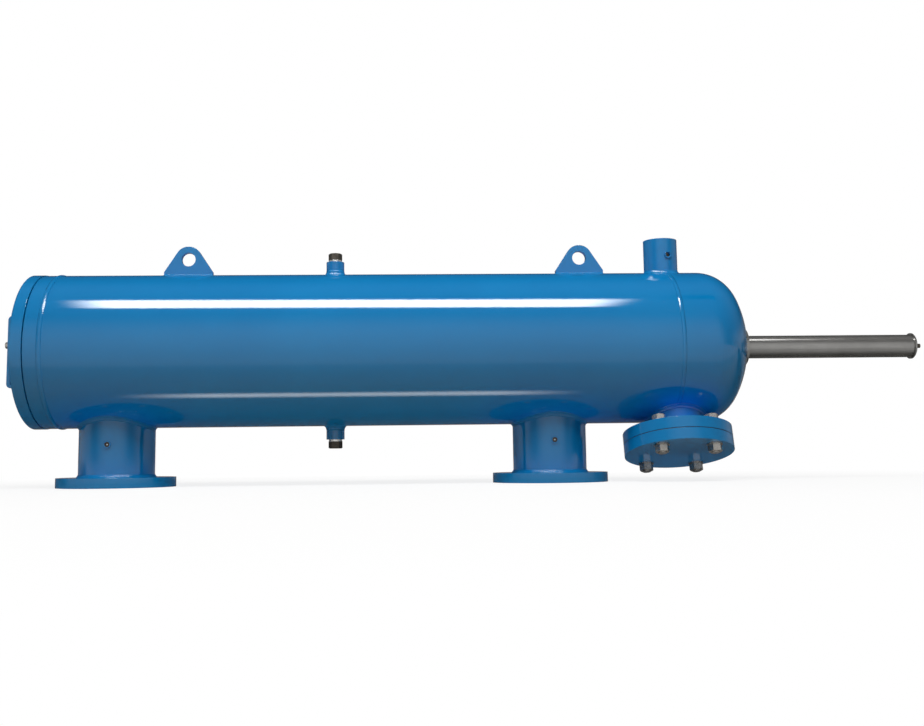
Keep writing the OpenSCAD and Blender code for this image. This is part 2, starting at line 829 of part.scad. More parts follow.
module cover() {
    lug_x = cover_split + closure_lug_t + move_gap;
    lug_root = spigot_r - closure_lug_depth;
    lug_tip = closure_r + closure_lug_depth - move_gap;
    seal_x = cover_split + (closure_land + end_ring_length) / 2;
    groove_r = cover_seal_ring_r - cover_seal_d / 2 - seat_gap / 2;
    color(paint) along_x(cover_x) {
        difference() {
            union() {
                translate([0, 0, -cover_thickness])
                    cylinder(r1 = cover_r - cover_edge, r2 = cover_r, h = cover_edge);
                translate([0, 0, cover_edge - cover_thickness])
                    cylinder(r = cover_r, h = cover_thickness - cover_edge);
                cylinder(r = spigot_r, h = cover_split + spigot_length);
            }
            cylinder(r = spigot_bore_r, h = end_ring_length + cover_split);
            translate([0, 0, seal_x - cover_seal_d / 2 - seat_gap])
                tube(closure_r, groove_r, cover_seal_d + 2 * seat_gap);
            translate([-vent_screw_height, 0, -2 * cover_thickness])
                cylinder(d = vent_screw_d + 2 * seat_gap, h = cover_thickness + vent_screw_depth);
        }
        for (i = [0:closure_lugs - 1])
            rotate([0, 0, i * closure_pitch - lug_sector / 2])
                rotate_extrude(angle = lug_sector)
                    translate([lug_root, lug_x]) square([lug_tip - lug_root, closure_lug_t]);
    }
}

module cover_seal() {
    color(rubber) along_x(end_ring_x + (closure_land + end_ring_length) / 2)
        seal_ring(cover_seal_ring_r, cover_seal_d);
}

// Block with round outer corners
module bent_block(reach, height, bend) {
    translate([0, -height / 2]) square([reach - bend, height]);
    translate([0, bend - height / 2]) square([reach, height - 2 * bend]);
    for (side = [-1, 1]) translate([reach - bend, side * (height / 2 - bend)]) circle(r = bend);
}

module cover_handle() {
    color(paint) translate([cover_face_x, 0, axis_height]) difference() {
        rotate([90, 0, 180]) translate([0, 0, -handle_width / 2])
            linear_extrude(handle_width) difference() {
                bent_block(handle_reach, handle_height, handle_bend);
                translate([-cut, 0]) bent_block(
                    handle_reach - handle_bar + cut,
                    handle_height - 2 * handle_bar,
                    handle_bend - handle_bar
                );
            }
        translate([-2 * handle_reach, 0, vent_screw_height]) rotate([0, 90, 0])
            cylinder(d = vent_screw_d + bolt_play, h = 2 * handle_reach);
    }
}

module cover_vent_screw() {
    color(steel) translate([cover_face_x - handle_reach, 0, axis_height + vent_screw_height]) {
        rotate([0, -90, 0]) hex_head(vent_screw_flats, vent_screw_head);
        rotate([0, 90, 0]) cylinder(d = vent_screw_d, h = handle_reach + vent_screw_depth);
    }
}

// Screens and bulkheads

module inlet_bulkhead() {
    color(steel) along_x(inlet_bulkhead_x) {
        tube(shell_ir - seat_gap, mouth_r, bulkhead_t);
        translate([0, 0, bulkhead_t]) tube(collar_ir + collar_wall, collar_ir, screen_end_w);
    }
}

module rotor_bulkhead() {
    bore_r = collector_r + run_gap + bush_wall + seat_gap;
    color(steel) along_x(rotor_bulkhead_x) {
        tube(shell_ir - seat_gap, bore_r, bulkhead_t);
        translate([0, 0, -screen_end_w]) tube(collar_ir + collar_wall, collar_ir, screen_end_w);
    }
}

module coarse_screen() {
    row_pitch = coarse_length / coarse_rows;
    color(stainless) along_x(coarse_x0) difference() {
        tube(coarse_r, coarse_r - coarse_wall, coarse_length);
        for (row = [0:coarse_rows - 1], i = [0:coarse_around - 1])
            translate([0, 0, (row + 0.5) * row_pitch])
                rotate([0, 0, (i + (row % 2) / 2) * 360 / coarse_around])
                    translate([coarse_r - 2 * coarse_wall, 0, 0])
                        rotate([0, 90, 0]) cylinder(d = coarse_hole_d, h = 4 * coarse_wall);
    }
}

module fine_screen() {
    color(stainless) along_x(screen_x0 + screen_end_w)
        tube(fine_or, fine_ir, screen_length - 2 * screen_end_w);
}

// End ring of the screen, with a groove for its seal
module screen_end() {
    difference() {
        tube(screen_end_r, fine_ir, screen_end_w);
        translate([0, 0, (screen_end_w - screen_seal_d) / 2 - seat_gap])
            tube(
                screen_end_r + cut,
                screen_end_r - screen_seal_d - seat_gap,
                screen_seal_d + 2 * seat_gap
            );
    }
}

module screen_cage() {
    ring_pitch = (screen_length - 2 * screen_end_w) / (cage_rings + 1);
    color(stainless) along_x(screen_x0) {
        screen_end();
        translate([0, 0, screen_length - screen_end_w]) screen_end();
        for (i = [1:cage_rings])
            translate([0, 0, screen_end_w + i * ring_pitch - cage_ring_w / 2])
                tube(cage_or, cage_ir, cage_ring_w);
        for (i = [0:cage_rods - 1])
            rotate([0, 0, i * 360 / cage_rods])
                translate([(cage_ir + cage_or) / 2, 0, screen_end_w - cut])
                    cylinder(d = cage_rod_d, h = screen_length - 2 * (screen_end_w - cut));
    }
}

module screen_seals() {
    color(rubber) for (x = [screen_x0 + screen_end_w / 2, screen_x1 - screen_end_w / 2])
        along_x(x) seal_ring(screen_seal_ring_r, screen_seal_d);
}

// Bush with a flange on its far end
module flanged_bush(shaft_r, length, flange_t) {
    difference() {
        union() {
            cylinder(r = shaft_r + run_gap + bush_wall, h = length);
            translate([0, 0, length - flange_t])
                cylinder(r = shaft_r + run_gap + 2 * bush_wall, h = flange_t);
        }
        translate([0, 0, -cut]) cylinder(r = shaft_r + run_gap, h = length + 2 * cut);
    }
}

module collector_bush() {
    color(bronze) along_x(rotor_bulkhead_x)
        flanged_bush(collector_r, bulkhead_t + bush_flange, bush_flange);
}

module tail_bush() {
    color(bronze) along_x(tail_bush_x) flanged_bush(tail_pin_r, tail_bush_length, bush_flange);
}

module tail_spider() {
    bore_r = tail_pin_r + run_gap + bush_wall + seat_gap;
    hub_r = bore_r + 2 * bush_wall;
    rim_r = mouth_r - seat_gap;
    arm_start = bore_r + bush_wall;
    arm_end = rim_r - spider_arm / 4;
    color(steel) along_x(inlet_bulkhead_x) {
        tube(rim_r, rim_r - spider_arm / 2, bulkhead_t);
        tube(hub_r, bore_r, bulkhead_t);
        for (i = [0:2])
            rotate([0, 0, i * 120]) translate([arm_start, -spider_arm / 2, cut])
                cube([arm_end - arm_start, spider_arm, bulkhead_t - 2 * cut]);
    }
}

// Scanner

module at_suction() {
    for (i = [0:suction_count - 1])
        translate([first_suction_x + i * stroke, 0, axis_height])
            rotate([i * 360 / suction_count, 0, 0]) children();
}

module collector_tube() {
    color(stainless) difference() {
        along_x(tail_x) tube(collector_r, collector_r - collector_wall, collector_end_x - tail_x);
        at_suction() cylinder(d = suction_bore, h = collector_od);
    }
}

module suction_nozzles() {
    lip = 3;
    color(stainless) at_suction() difference() {
        intersection() {
            union() {
                cylinder(d = suction_neck_d, h = tip_r - suction_mouth_h / 2);
                translate([-suction_mouth / 2, -suction_width / 2, tip_r - suction_mouth_h])
                    cube([suction_mouth, suction_width, suction_mouth_h + cut]);
            }
            rotate([0, 90, 0]) cylinder(r = tip_r, h = 2 * suction_mouth, center = true);
        }
        rotate([0, 90, 0]) cylinder(r = collector_r, h = 2 * suction_mouth, center = true);
        cylinder(d = suction_bore, h = tip_r - suction_mouth_h / 2);
        translate([lip - suction_mouth / 2, -suction_width / 4, tip_r - suction_mouth_h / 2 - cut])
            cube([suction_mouth - 2 * lip, suction_width / 2, suction_mouth_h]);
    }
}

module tail_pin() {
    plug_r = collector_r - collector_wall - seat_gap;
    color(steel) along_x(tail_x) {
        translate([0, 0, -tail_pin_length])
            cylinder(r = tail_pin_r, h = tail_pin_length + bush_flange);
        cylinder(r = plug_r, h = 2 * bush_flange);
        translate([0, 0, -bush_flange]) cylinder(r = collector_r, h = bush_flange);
    }
}

module hydraulic_rotor() {
    hub_r = rotor_hub_d / 2;
    color(stainless) along_x(rotor_x) difference() {
        union() {
            cylinder(r = hub_r, h = rotor_length);
            for (side = [0, 180])
                rotate([0, 0, side]) translate([0, 0, rotor_length / 2])
                    rotate([0, 90, 0]) cylinder(d = rotor_arm_d, h = rotor_reach);
        }
        translate([0, 0, -cut])
            cylinder(r = collector_r + seat_gap, h = rotor_length / 3 + seat_gap + cut);
        cylinder(r = collector_r - collector_wall, h = rotor_length / 2 + rotor_arm_bore / 2);
        for (side = [0, 180])
            rotate([0, 0, side]) translate([0, 0, rotor_length / 2])
                rotate([0, 90, 0]) cylinder(d = rotor_arm_bore, h = rotor_reach + cut);
        translate([0, 0, rotor_length - swivel_depth])
            cylinder(r = rod_collar_r + move_gap, h = swivel_depth + cut);
    }
}

// A closed elbow on each arm's end that throws its jet along the turn
module rotor_jets() {
    jet_wall = 3;
    jet_d = jet_bore + 2 * jet_wall;
    elbow = jet_d + jet_wall;
    color(stainless) along_x(rotor_x + rotor_length / 2) for (side = [0, 180])
        rotate([0, 0, side]) translate([rotor_reach, 0, 0]) difference() {
            union() {
                rotate([0, 90, 0]) cylinder(d = rotor_arm_d, h = elbow);
                translate([elbow / 2, 0, 0]) rotate([-90, 0, 0]) cylinder(d = jet_d, h = jet_length);
            }
            translate([-cut, 0, 0]) rotate([0, 90, 0]) cylinder(d = jet_bore, h = elbow / 2 + cut);
            translate([elbow / 2, 0, 0]) rotate([-90, 0, 0]) cylinder(d = jet_bore, h = jet_length + cut);
        }
}

module swivel_cap() {
    color(steel) along_x(rotor_end_x) tube(rotor_hub_d / 2 - 2 * cut, rod_r + move_gap, swivel_cap_t);
}

// Hydraulic cylinder

module piston_rod() {
    collar_x = rotor_end_x - swivel_depth + move_gap;
    color(steel) {
        along_x(collar_x) cylinder(r = rod_collar_r, h = rod_collar_t);
        along_x(collar_x) cylinder(r = rod_r, h = rod_end_x - collar_x);
    }
}

module piston() {
    groove_x = (piston_length - piston_seal_d) / 2 - seat_gap;
    groove_r = piston_seal_ring_r - piston_seal_d / 2 - seat_gap / 2;
    color(bronze) along_x(piston_x) difference() {
        tube(piston_r, rod_r + seat_gap, piston_length);
        translate([0, 0, groove_x]) tube(tube_r, groove_r, piston_seal_d + 2 * seat_gap);
    }
}

module piston_seal() {
    color(rubber) along_x(piston_x + piston_length / 2) seal_ring(piston_seal_ring_r, piston_seal_d);
}

module piston_nut() {
    color(steel) along_x(piston_x + piston_length) difference() {
        hex_head(piston_nut_flats, piston_nut_h);
        translate([0, 0, -cut]) cylinder(r = rod_r + seat_gap, h = piston_nut_h + 2 * cut);
    }
}

module cylinder_hub() {
    bush_bore_length = tube_x - gland_lip - spigot_x;
    color(stainless) difference() {
        union() {
            difference() {
                along_x(apex_x - hub_od / 2) cylinder(d = hub_od, h = hub_od / 2 + hub_reach);
                along_x(seam_x + crown_centre) sphere(r = head_crown_r);
            }
            along_x(spigot_x) cylinder(d = hub_spigot_d, h = hub_face_x - spigot_x - cut);
        }
        along_x(spigot_x - cut) cylinder(r = gland_bush_r + seat_gap, h = bush_bore_length + cut);
        along_x(spigot_x) cylinder(r = rod_r + move_gap, h = shell_od);
        along_x(tube_x) cylinder(r = tube_r + seat_gap, h = socket_depth + cut);
    }
}

module gland_bush() {
    color(bronze) along_x(spigot_x) tube(gland_bush_r, rod_r + run_gap, gland_length);
}

module gland_seals() {
    ring_r = rod_r + move_gap + small_seal_d / 2;
    color(rubber) for (i = [0, 1])
        along_x(spigot_x + gland_length + (i + 0.5) * gland_seal_space / 2)
            seal_ring(ring_r, small_seal_d);
}

module cylinder_tube() {
    color(stainless) along_x(tube_x) tube(tube_r, tube_ir, tube_end_x - tube_x);
}

module cylinder_end_cap() {
    rim_r = end_cap_d / 2;
    bevel = end_cap_t / 3;
    plug_r = tube_ir - seat_gap;
    groove = small_seal_d + seat_gap;
    color(stainless) along_x(tube_end_x) difference() {
        union() {
            cylinder(r = rim_r, h = end_cap_t - bevel);
            translate([0, 0, end_cap_t - bevel]) cylinder(r1 = rim_r, r2 = rim_r - bevel, h = bevel);
            translate([0, 0, -end_cap_spigot]) cylinder(r = plug_r, h = end_cap_spigot);
        }
        translate([0, 0, -end_cap_spigot / 2 - groove / 2]) tube(tube_r, plug_r - groove, groove);
        translate([0, 0, -end_cap_spigot - cut])
            cylinder(d = fitting_flats / 2 + 2 * seat_gap, h = end_cap_spigot + end_cap_t + 2 * cut);
    }
}

module end_cap_seal() {
    color(rubber) along_x(tube_end_x - end_cap_spigot / 2)
        seal_ring(tube_ir - seat_gap - small_seal_d / 2, small_seal_d);
}

module end_cap_fitting() {
    stem_d = fitting_flats / 2;
    collar_d = stem_d * 1.4;
    color(dark_iron) along_x(tube_end_x) difference() {
        union() {
            cylinder(d = stem_d, h = end_cap_t + cut);
            translate([0, 0, end_cap_t]) hex_head(fitting_flats, fitting_reach / 2);
            translate([0, 0, end_cap_t]) cylinder(d = collar_d, h = fitting_reach);
        }
        translate([0, 0, -cut]) cylinder(d = stem_d / 2, h = end_cap_t + fitting_reach + 2 * cut);
    }
}

shell();
end_ring();
dished_head();
weld_beads();
inlet_pipe();
inlet_flange();
outlet_pipe();
outlet_flange();
inlet_gauge_boss();
inlet_gauge_plug();
outlet_gauge_boss();
outlet_gauge_plug();
flush_pipe();
flush_gauge_boss();
hand_hole_neck();
hand_hole_flange();
hand_hole_gasket();
hand_hole_blind();
hand_hole_bolts();
hand_hole_washers();
hand_hole_nuts();
vent_coupling();
vent_ring();
vent_plug();
drain_coupling();
drain_ring();
drain_plug();
lifting_lug_left();
lifting_lug_right();
cover();
cover_seal();
cover_handle();
cover_vent_screw();
inlet_bulkhead();
coarse_screen();
fine_screen();
screen_cage();
screen_seals();
rotor_bulkhead();
collector_bush();
tail_spider();
tail_bush();
collector_tube();
tail_pin();
suction_nozzles();
hydraulic_rotor();
rotor_jets();
swivel_cap();
piston_rod();
piston();
piston_seal();
piston_nut();
cylinder_hub();
gland_bush();
gland_seals();
cylinder_tube();
cylinder_end_cap();
end_cap_seal();
end_cap_fitting();
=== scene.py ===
import json
import math

import bpy
from mathutils import Matrix, Vector


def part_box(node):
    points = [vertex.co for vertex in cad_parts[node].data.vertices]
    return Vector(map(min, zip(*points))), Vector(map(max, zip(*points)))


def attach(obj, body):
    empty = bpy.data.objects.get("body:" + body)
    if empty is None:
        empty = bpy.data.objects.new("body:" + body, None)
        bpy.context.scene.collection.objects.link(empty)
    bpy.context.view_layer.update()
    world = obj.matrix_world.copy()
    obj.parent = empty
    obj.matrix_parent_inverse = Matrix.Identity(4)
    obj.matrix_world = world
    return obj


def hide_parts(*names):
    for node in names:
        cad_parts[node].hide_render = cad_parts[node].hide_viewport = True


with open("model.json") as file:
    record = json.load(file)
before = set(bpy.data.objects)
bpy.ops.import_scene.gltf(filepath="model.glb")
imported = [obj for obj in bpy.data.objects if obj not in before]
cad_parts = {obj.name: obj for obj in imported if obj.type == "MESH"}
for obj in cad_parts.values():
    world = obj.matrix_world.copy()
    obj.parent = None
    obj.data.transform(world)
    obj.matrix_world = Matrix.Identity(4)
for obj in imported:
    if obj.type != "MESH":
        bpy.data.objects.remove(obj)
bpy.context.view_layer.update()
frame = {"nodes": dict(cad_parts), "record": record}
scene = bpy.context.scene

X, Y, Z = 0, 1, 2
FULL_TURN = 2 * math.pi
HALF_TURN = math.pi
QUARTER_TURN = math.pi / 2

# Lengths from the frame are in metres, and are rounded to 0.01 mm
DECIMALS = 5


def lowest(node, axis):
    """Where a node starts along an axis."""
    return round(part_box(node)[0][axis], DECIMALS)


def highest(node, axis):
    """Where a node ends along an axis."""
    return round(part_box(node)[1][axis], DECIMALS)


def middle(node, axis):
    """Where the middle of a node's box is along an axis."""
    return round((lowest(node, axis) + highest(node, axis)) / 2, DECIMALS)


def half_size(node, axis):
    """Half of a node's size along an axis, or its radius."""
    return round((highest(node, axis) - lowest(node, axis)) / 2, DECIMALS)


# Sizes and places of the part, in metres. The vessel lies along X, and its front is towards -Y.
AXIS_Z = middle("shell", Z)
SHELL_R = half_size("shell", Z)
RING_SEAM_X = lowest("shell", X)
HEAD_SEAM_X = highest("shell", X)
NOZZLES = {side: middle(f"{side}_pipe", X) for side in ("inlet", "outlet")}
PIPE_R = half_size("inlet_pipe", X)
FLANGE_TOP = highest("inlet_flange", Z)
GAUGE_Z = middle("inlet_gauge_plug", Z)
FLUSH_X = middle("flush_pipe", X)
FLUSH_R = half_size("flush_pipe", X)
HAND_X = middle("hand_hole_neck", X)
NECK_R = half_size("hand_hole_neck", X)
PORT_X = middle("vent_coupling", X)
COUPLING_R = half_size("vent_coupling", X)
LUGS = {side: middle(f"lifting_lug_{side}", X) for side in ("left", "right")}
LUG_HALF_FOOT = half_size("lifting_lug_left", X)
LUG_HALF_THICK = half_size("lifting_lug_left", Y)
# Tilt of the hand hole to the front, and how far from the vessel's axis its neck flange starts
HAND_TILT = math.radians(15.6)
NECK_REACH = 0.268


# Node helpers

def new_material(name):
    """A new material, its node tree and its shader."""
    material = bpy.data.materials.new(name)
    material.use_nodes = True
    tree = material.node_tree
    return material, tree, tree.nodes["Principled BSDF"]


def emptied_tree(owner):
    """The node tree of a new material or world, with no nodes in it."""
    owner.use_nodes = True
    owner.node_tree.nodes.clear()
    return owner.node_tree


def add_node(tree, kind, inputs=None, **settings):
    """A new node with its settings, and with a value or a link on each input that is given."""
    node = tree.nodes.new(kind)
    for key, value in settings.items():
        setattr(node, key, value)
    for key, value in (inputs or {}).items():
        if isinstance(value, bpy.types.NodeSocket):
            tree.links.new(value, node.inputs[key])
        else:
            node.inputs[key].default_value = value
    return node


def rgb(red, green, blue):
    return (red, green, blue, 1.0)


def object_coords(tree, squeeze=(1, 1, 1)):
    """Coordinates in metres, multiplied on each axis."""
    coords = add_node(tree, "ShaderNodeTexCoord")
    mapping = add_node(tree, "ShaderNodeMapping", {"Vector": coords.outputs["Object"], "Scale": squeeze})
    return mapping.outputs["Vector"]


def noise(tree, vector, scale, detail=3.0, roughness=0.5):
    node = add_node(tree, "ShaderNodeTexNoise", {
        "Vector": vector, "Scale": scale, "Detail": detail, "Roughness": roughness})
    return node.outputs["Fac"]


def remap(tree, value, to, over=(0.0, 1.0)):
    """Bring a value from one range to another."""
    node = add_node(tree, "ShaderNodeMapRange", {
        "Value": value, "From Min": over[0], "From Max": over[1], "To Min": to[0], "To Max": to[1]})
    return node.outputs["Result"]


def math_node(tree, operation, first, second=0.0):
    return add_node(tree, "ShaderNodeMath", {0: first, 1: second}, operation=operation).outputs[0]


# The Mix node repeats its sockets' names for each kind of data, so they go by number

def mix_value(tree, factor, first, second):
    return add_node(tree, "ShaderNodeMix", {0: factor, 2: first, 3: second}, data_type="FLOAT").outputs[0]


def mix_colour(tree, factor, first, second):
    return add_node(tree, "ShaderNodeMix", {0: factor, 6: first, 7: second}, data_type="RGBA").outputs[2]


def smooth_step(tree, value, low, high, gain=1.0):
    """Rises smoothly from 0 at low to the gain at high."""
    node = add_node(tree, "ShaderNodeMapRange", {
        "Value": value, "From Min": low, "From Max": high, "To Min": 0.0, "To Max": gain},
        interpolation_type="SMOOTHSTEP")
    return node.outputs["Result"]


def stepped(tree, value, base, steps):
    """A base level plus a smooth step for each (from, to, gain)."""
    total = base
    for low, high, gain in steps:
        total = math_node(tree, "ADD", smooth_step(tree, value, low, high, gain), total)
    return total


def inside_bore(tree, place, centre, radius, along, span):
    """One inside a bore and zero outside: its centre on two axes, and its span along the third."""
    squares = 0.0
    for axis, centre_line in centre.items():
        away = math_node(tree, "SUBTRACT", place.outputs[axis], centre_line)
        squares = math_node(tree, "ADD", math_node(tree, "MULTIPLY", away, away), squares)
    near = math_node(tree, "LESS_THAN", squares, radius ** 2)
    after = math_node(tree, "GREATER_THAN", place.outputs[along], span[0])
    before = math_node(tree, "LESS_THAN", place.outputs[along], span[1])
    return math_node(tree, "MULTIPLY", near, math_node(tree, "MULTIPLY", after, before))


BEVEL_SAMPLES = 4


def rounded_bump(tree, bsdf, height, strength, depth, edge):
    """Bump on a surface whose edges are rounded in the shading by the radius edge."""
    bevel = add_node(tree, "ShaderNodeBevel", {"Radius": edge}, samples=BEVEL_SAMPLES)
    bump = add_node(tree, "ShaderNodeBump", {
        "Strength": strength, "Distance": depth, "Height": height, "Normal": bevel.outputs["Normal"]})
    tree.links.new(bump.outputs["Normal"], bsdf.inputs["Normal"])


def show_mix(tree, factor, first, second, output="ShaderNodeOutputMaterial"):
    """Make a mix of two shaders what a material or a world shows."""
    mixed = add_node(tree, "ShaderNodeMixShader", {0: factor, 1: first.outputs[0], 2: second.outputs[0]})
    add_node(tree, output, {"Surface": mixed.outputs[0]})


# Materials, one for each slot of the record

PAINT_DARK = rgb(0.0028, 0.190, 0.475)
PAINT_LIGHT = rgb(0.0036, 0.215, 0.520)
PAINT_ROUGHNESS = (0.035, 0.075)
PAINT_SPECULAR = 0.42
# Steel that is left unpainted, made almost black as painted shade inside the bores, and the roughness
# that it has more than the paint
BARE_STEEL_AND_SHADE = rgb(0.016, 0.016, 0.017)
BARE_ROUGHER = 0.55
# Bores that stay bare: radius with a little room, and span along the bore
SHELL_BARE_R = 0.2195
SHELL_BARE_X = (-0.2105, 1.6499)
NOZZLE_BARE_R = 0.1017
NOZZLE_BARE_Z = (0.0, 0.21)
FLUSH_BARE_R = 0.0455
FLUSH_BARE_Z = (0.6, 0.74)
BARE_BORES = (
    ({Y: 0.0, Z: AXIS_Z}, SHELL_BARE_R, X, SHELL_BARE_X),
    ({X: NOZZLES["inlet"], Y: 0.0}, NOZZLE_BARE_R, Z, NOZZLE_BARE_Z),
    ({X: NOZZLES["outlet"], Y: 0.0}, NOZZLE_BARE_R, Z, NOZZLE_BARE_Z),
    ({X: FLUSH_X, Y: 0.0}, FLUSH_BARE_R, Z, FLUSH_BARE_Z),
)


def make_paint():
    """Glossy blue paint with a fine grain, and dull unpainted steel in the bores, made almost black there
    as painted shade.
    """
    material, tree, bsdf = new_material("blue_paint")
    vector = object_coords(tree)
    place = add_node(tree, "ShaderNodeSeparateXYZ", {"Vector": vector})
    bare_shaded_mask = 0.0
    for bore in BARE_BORES:
        bare_shaded_mask = math_node(tree, "MAXIMUM", inside_bore(tree, place, *bore), bare_shaded_mask)
    cloud = remap(tree, noise(tree, vector, scale=3.0, detail=4.0), to=(0.0, 1.0), over=(0.3, 0.7))
    paint = mix_colour(tree, cloud, PAINT_DARK, PAINT_LIGHT)
    gloss = remap(tree, noise(tree, vector, scale=24.0), to=PAINT_ROUGHNESS)
    rougher = math_node(tree, "MULTIPLY", bare_shaded_mask, BARE_ROUGHER)
    grain = noise(tree, vector, scale=420.0, detail=2.0)
    # painted shade: the bores' bare steel is darkened almost to black so that the holes read dark
    tree.links.new(mix_colour(tree, bare_shaded_mask, paint, BARE_STEEL_AND_SHADE), bsdf.inputs["Base Color"])
    tree.links.new(math_node(tree, "ADD", gloss, rougher), bsdf.inputs["Roughness"])
    bsdf.inputs["Specular IOR Level"].default_value = PAINT_SPECULAR
    rounded_bump(tree, bsdf, grain, strength=0.05, depth=0.0004, edge=0.0018)
    return material


def make_metal(name, dark, light, roughness, squeeze, mark_scale, edge=0.0006, metallic=0.7):
    """Metal with fine marks, which are longest along the axis on which they are squeezed least."""
    material, tree, bsdf = new_material(name)
    fine = noise(tree, object_coords(tree, squeeze), mark_scale, roughness=0.6)
    cloud = noise(tree, object_coords(tree), scale=14.0, detail=4.0)
    shade = remap(tree, math_node(tree, "MULTIPLY", fine, cloud), to=(0.0, 1.0), over=(0.1, 0.42))
    tree.links.new(mix_colour(tree, shade, dark, light), bsdf.inputs["Base Color"])
    tree.links.new(remap(tree, fine, to=roughness, over=(0.25, 0.75)), bsdf.inputs["Roughness"])
    bsdf.inputs["Metallic"].default_value = metallic
    rounded_bump(tree, bsdf, fine, strength=0.02, depth=0.0003, edge=edge)
    return material


IRON_DARK = rgb(0.030, 0.024, 0.018)
IRON_LIGHT = rgb(0.075, 0.062, 0.046)
IRON_METALLIC = 0.35


def make_dark_iron():
    """Dull brown-black iron with patches and a rough skin."""
    material, tree, bsdf = new_material("dark_iron")
    vector = object_coords(tree)
    spots = noise(tree, vector, scale=130.0, detail=5.0, roughness=0.65)
    patch = remap(tree, spots, to=(0.0, 1.0), over=(0.35, 0.68))
    skin = noise(tree, vector, scale=700.0)
    tree.links.new(mix_colour(tree, patch, IRON_DARK, IRON_LIGHT), bsdf.inputs["Base Color"])
    tree.links.new(remap(tree, patch, to=(0.42, 0.62)), bsdf.inputs["Roughness"])
    bsdf.inputs["Metallic"].default_value = IRON_METALLIC
    rounded_bump(tree, bsdf, skin, strength=0.25, depth=0.0005, edge=0.0008)
    return material


RUBBER_DARK = rgb(0.012, 0.012, 0.013)
RUBBER_LIGHT = rgb(0.028, 0.027, 0.026)


def make_rubber():
    """Matt black rubber with a fine skin."""
    material, tree, bsdf = new_material("rubber")
    vector = object_coords(tree)
    patch = noise(tree, vector, scale=90.0, detail=4.0)
    skin = noise(tree, vector, scale=1500.0, detail=2.0)
    tree.links.new(mix_colour(tree, patch, RUBBER_DARK, RUBBER_LIGHT), bsdf.inputs["Base Color"])
    tree.links.new(remap(tree, patch, to=(0.62, 0.82)), bsdf.inputs["Roughness"])
    rounded_bump(tree, bsdf, skin, strength=0.2, depth=0.0003, edge=0.0005)
    return material


materials = {
    "blue_paint": make_paint(),
    "stainless": make_metal(
        "stainless", dark=rgb(0.205, 0.202, 0.196), light=rgb(0.285, 0.281, 0.273),
        roughness=(0.16, 0.26), squeeze=(4, 260, 260), mark_scale=3.0),
    "plated_steel": make_metal(
        "plated_steel", dark=rgb(0.30, 0.285, 0.262), light=rgb(0.46, 0.44, 0.41),
        roughness=(0.22, 0.36), squeeze=(1, 1, 1), mark_scale=180.0, edge=0.0010, metallic=0.9),
    "seal_ring_steel": make_metal(
        "seal_ring_steel", dark=rgb(0.50, 0.50, 0.49), light=rgb(0.66, 0.66, 0.65),
        roughness=(0.18, 0.30), squeeze=(1, 1, 8), mark_scale=160.0),
    "dark_iron": make_dark_iron(),
    "rubber": make_rubber(),
    "bronze": make_metal(
        "bronze", dark=rgb(0.36, 0.22, 0.075), light=rgb(0.52, 0.34, 0.13),
        roughness=(0.24, 0.40), squeeze=(6, 90, 90), mark_scale=6.0),
}
for subpart in frame["record"]["subparts"]:
    for holder in frame["nodes"][subpart["node"]].material_slots:
        holder.material = materials[subpart["material_slot"]]


# Shapes swept through rings of points

def polar(radius, turn, height):
    """A point round local Z."""
    return Vector((radius * math.cos(turn), radius * math.sin(turn), height))


def sweep(rings, closed):
    """Points and faces of a tube through the rings, closed on itself or capped at both ends."""
    count = len(rings[0])
    points = [point for ring in rings for point in ring]
    faces = []
    for i in range(len(rings) if closed else len(rings) - 1):
        here = i * count
        there = (i + 1) % len(rings) * count
        for k in range(count):
            beside = (k + 1) % count
            faces.append((here + k, here + beside, there + beside, there + k))
    if not closed:
        faces.append(tuple(reversed(range(count))))
        faces.append(tuple(range(len(points) - count, len(points))))
    return points, faces


def add_piece(name, sweeps, slot):
    """One object with all the sweeps in it, riding the vessel."""
    points = []
    faces = []
    for sweep_points, sweep_faces in sweeps:
        start = len(points)
        points.extend(sweep_points)
        faces.extend(tuple(start + i for i in face) for face in sweep_faces)
    mesh = bpy.data.meshes.new(name)
    mesh.from_pydata(points, [], faces)
    mesh.validate()
    mesh.update()
    mesh.polygons.foreach_set("use_smooth", [True] * len(mesh.polygons))
    mesh.materials.append(materials[slot])
    obj = bpy.data.objects.new(name, mesh)
    scene.collection.objects.link(obj)
    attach(obj, "vessel")
    return obj


# Welds, with the leg on the wall and the height on the pipe. Those at the flanges and at the
# head's seam have the size that the photograph shows, those at the lugs have no solids, and
# the others have the size of the solids.

SADDLE_LEG = 0.008
SADDLE_H = 0.0088
COUPLING_LEG = 0.008
COUPLING_WELD_H = 0.015
FLANGE_LEG = 0.007
FLANGE_WELD_H = 0.009
LUG_LEG = 0.005
# Width and height of the beads round the shell
RING_GIRTH = (0.014, 0.0025)
HEAD_GIRTH = (0.012, 0.0002)
# How far a weld reaches into what it joins
SINK = 0.0006
# Where the bead at the head stops under a saddle weld, as a share of its leg from the pipe
GIRTH_STOP = 0.5

# Hollow of a weld's face: 0 is straight, and 1 is round and meets wall and pipe smoothly
SADDLE_HOLLOW = 1.0
FILLET_HOLLOW = 0.5
FILLET_STEPS = 7
# A girth bead's crown is a sine to this power, so it is flatter than a sine
GIRTH_CROWN = 0.8
GIRTH_STEPS = 8

# Ripples that welding leaves: height, distance, and steps for each
RIPPLE = 0.00025
RIPPLE_PITCH = 0.0055
RIPPLE_STEPS = 5
LUG_RIPPLE_STEPS = 4
# How far the ripples' phase wanders, and how often round a weld
BRANCH_PHASE = 0.6
SADDLE_WAVES = 5
FLANGE_WAVES = 4
GIRTH_PHASE = 0.5
GIRTH_WAVES = 7
# Ripple of a girth bead as a share of the plain one, for each metre of its height
GIRTH_RIPPLE = 240


def ripple(distance, phase):
    """Height of the ripple at a distance along a weld."""
    return RIPPLE * math.sin(FULL_TURN * distance / RIPPLE_PITCH + phase)


